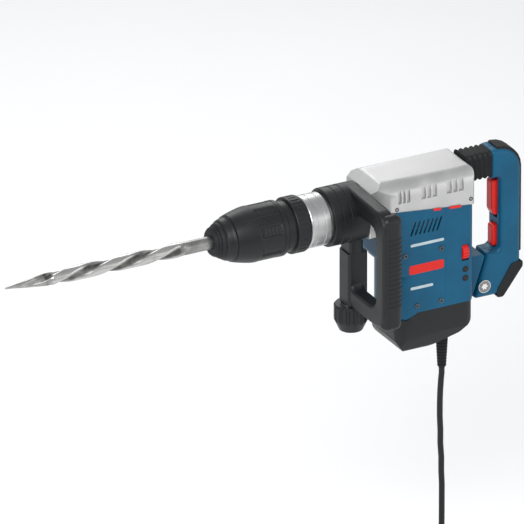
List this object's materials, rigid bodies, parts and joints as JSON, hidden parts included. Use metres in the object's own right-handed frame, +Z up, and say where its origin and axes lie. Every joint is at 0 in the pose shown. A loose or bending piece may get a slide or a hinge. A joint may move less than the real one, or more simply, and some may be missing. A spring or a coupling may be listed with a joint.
{
  "type": "electric jackhammer",
  "caption": "Electric demolition hammer with pointed chisel, side and rear D-handles, inner hammer drive and mains cord; trigger, sleeve, dial and handles move.",
  "frame": {"origin": "middle of the rear grip, where a hand holds the tool up", "axes": "+X back along the tool axis, away from the chisel; +Z up; the side handle's grip is on the -Y side; the tool axis is 45 mm above the origin"},
  "size_m": [0.763, 0.1584, 0.6475],
  "materials": {
    "bright_steel": "ground steel, lightly oiled",
    "silver_casting": "satin cast aluminium",
    "blue_plastic": "fine moulded grain",
    "black_plastic": "fine moulded grain",
    "black_rubber": "matt",
    "red_plastic": "semi-gloss",
    "dark_steel": "blackened",
    "copper": "enamelled wire",
    "brass_parts": "stamped",
    "carbon": "pressed carbon",
    "white_plastic": "moulded",
    "green_board": "potted",
    "lamp_lens": "smoked lens",
    "cord_rubber": "matt sheath",
    "plated_steel": "plated"
  },
  "bodies": {
    "housing": {"gear_housing": "silver_casting", "neck": "silver_casting", "hammer_tube": "bright_steel", "crank_bearings": "bright_steel", "housing_screws": "dark_steel", "motor_housing": "blue_plastic", "rear_cover": "blue_plastic", "base_cap": "black_plastic", "stator_core": "dark_steel", "field_coils": "copper", "motor_bearings": "bright_steel", "brush_holders": "brass_parts", "carbon_brushes": "carbon", "control_module": "green_board", "lamps": "lamp_lens", "bellows": "black_rubber", "damper_spring": "bright_steel", "damper_rod": "bright_steel", "strain_relief": "black_rubber", "cord": "cord_rubber", "cord_coil": "cord_rubber", "cord_tail": "cord_rubber", "plug_body": "black_rubber", "plug_pins": "plated_steel"},
    "tool_holder": {"tool_holder": "dark_steel", "dust_cap": "black_rubber", "sleeve_spring": "bright_steel"},
    "locking_sleeve": {"locking_sleeve": "black_plastic"},
    "lock_ring": {"lock_ring": "black_plastic"},
    "segment_top": {"segment_top": "bright_steel"},
    "segment_bottom": {"segment_bottom": "bright_steel"},
    "chisel": {"chisel": "bright_steel"},
    "anvil": {"anvil": "bright_steel"},
    "striker": {"striker": "bright_steel"},
    "piston": {"piston": "silver_casting", "wrist_pin": "bright_steel", "connecting_rod": "dark_steel"},
    "crank": {"crank_gear": "dark_steel", "crank_shaft": "dark_steel"},
    "armature": {"armature_shaft": "bright_steel", "armature_core": "dark_steel", "armature_windings": "copper", "commutator": "copper", "fan": "white_plastic"},
    "rear_handle": {"handle_left": "blue_plastic", "handle_right": "blue_plastic", "handle_soft_grip": "black_rubber", "switch_body": "black_plastic", "pivot_pin": "plated_steel", "bumper": "black_rubber"},
    "trigger": {"trigger": "red_plastic"},
    "lock_button": {"lock_button": "red_plastic"},
    "speed_dial": {"speed_dial": "red_plastic"},
    "side_handle": {"clamp_band": "dark_steel", "handle_loop": "black_plastic", "grip_sleeve": "black_rubber", "clamp_bolt": "plated_steel"},
    "clamp_washer": {"clamp_washer": "plated_steel"},
    "knurled_nut": {"knurled_nut": "black_plastic"}
  },
  "joints": [
    {"name": "holder_turn", "type": "hinge", "parent": "housing", "child": "tool_holder", "pos_m": [-0.281, 0, 0.045], "axis": [1, 0, 0], "range_deg": [-180, 180]},
    {"name": "sleeve_slide", "type": "slide", "parent": "tool_holder", "child": "locking_sleeve", "axis": [1, 0, 0], "range_m": [0, 0.008], "stiffness_N_per_m": 1500, "deforming": ["sleeve_spring"]},
    {"name": "ring_slide", "type": "slide", "parent": "tool_holder", "child": "lock_ring", "axis": [1, 0, 0], "range_m": [-0.004, 0], "stiffness_N_per_m": 2000},
    {"name": "segment_top_lift", "type": "slide", "parent": "tool_holder", "child": "segment_top", "axis": [0, 0, 1], "range_m": [0, 0.0028]},
    {"name": "segment_bottom_lift", "type": "slide", "parent": "tool_holder", "child": "segment_bottom", "axis": [0, 0, -1], "range_m": [0, 0.0028]},
    {"name": "chisel_slide", "type": "slide", "parent": "tool_holder", "child": "chisel", "axis": [1, 0, 0], "range_m": [-0.012, 0]},
    {"name": "anvil_slide", "type": "slide", "parent": "tool_holder", "child": "anvil", "axis": [1, 0, 0], "range_m": [-0.012, 0]},
    {"name": "striker_slide", "type": "slide", "parent": "housing", "child": "striker", "axis": [1, 0, 0], "range_m": [-0.0035, 0.008]},
    {"name": "piston_stroke", "type": "slide", "parent": "housing", "child": "piston", "axis": [1, 0, 0], "range_m": [-0.026, 0]},
    {"name": "crank_spin", "type": "hinge", "parent": "housing", "child": "crank", "pos_m": [-0.11163, 0, 0.025], "axis": [0, 0, 1], "continuous": true},
    {"name": "armature_spin", "type": "hinge", "parent": "housing", "child": "armature", "pos_m": [-0.141, 0, -0.045], "axis": [0, 0, 1], "continuous": true},
    {"name": "handle_damping", "type": "hinge", "parent": "housing", "child": "rear_handle", "pos_m": [-0.043, 0, -0.099], "axis": [0, 1, 0], "range_deg": [-2.5, 0], "stiffness_Nm_per_rad": 390, "deforming": ["bellows", "damper_spring"]},
    {"name": "trigger_pull", "type": "hinge", "parent": "rear_handle", "child": "trigger", "pos_m": [-0.0145, 0, 0.042], "axis": [0, 1, 0], "range_deg": [-9, 0], "stiffness_Nm_per_rad": 1.5},
    {"name": "lock_button_press", "type": "slide", "parent": "rear_handle", "child": "lock_button", "axis": [1, 0, 0], "range_m": [0, 0.004], "stiffness_N_per_m": 600},
    {"name": "speed_dial_turn", "type": "hinge", "parent": "housing", "child": "speed_dial", "pos_m": [-0.0865, -0.0365, -0.029], "axis": [1, 0, 0], "range_deg": [0, 270]},
    {"name": "side_handle_swing", "type": "hinge", "parent": "housing", "child": "side_handle", "pos_m": [-0.241, 0, 0.045], "axis": [1, 0, 0], "range_deg": [-180, 180]},
    {"name": "washer_slide", "type": "slide", "parent": "side_handle", "child": "clamp_washer", "axis": [0, 0, -1], "range_m": [0, 0.0035]},
    {"name": "nut_turn", "type": "hinge", "parent": "clamp_washer", "child": "knurled_nut", "pos_m": [-0.234, 0, -0.105], "axis": [0, 0, 1], "range_deg": [0, 720]}
  ],
  "couplings": [
    {"joint": "segment_top_lift", "follows": "sleeve_slide", "ratio": 0.35},
    {"joint": "segment_bottom_lift", "follows": "sleeve_slide", "ratio": 0.35},
    {"joint": "anvil_slide", "follows": "chisel_slide", "ratio": 1},
    {"joint": "crank_spin", "follows": "armature_spin", "ratio": -0.175},
    {"joint": "washer_slide", "follows": "nut_turn", "m_per_rad": 0.00027852}
  ]
}
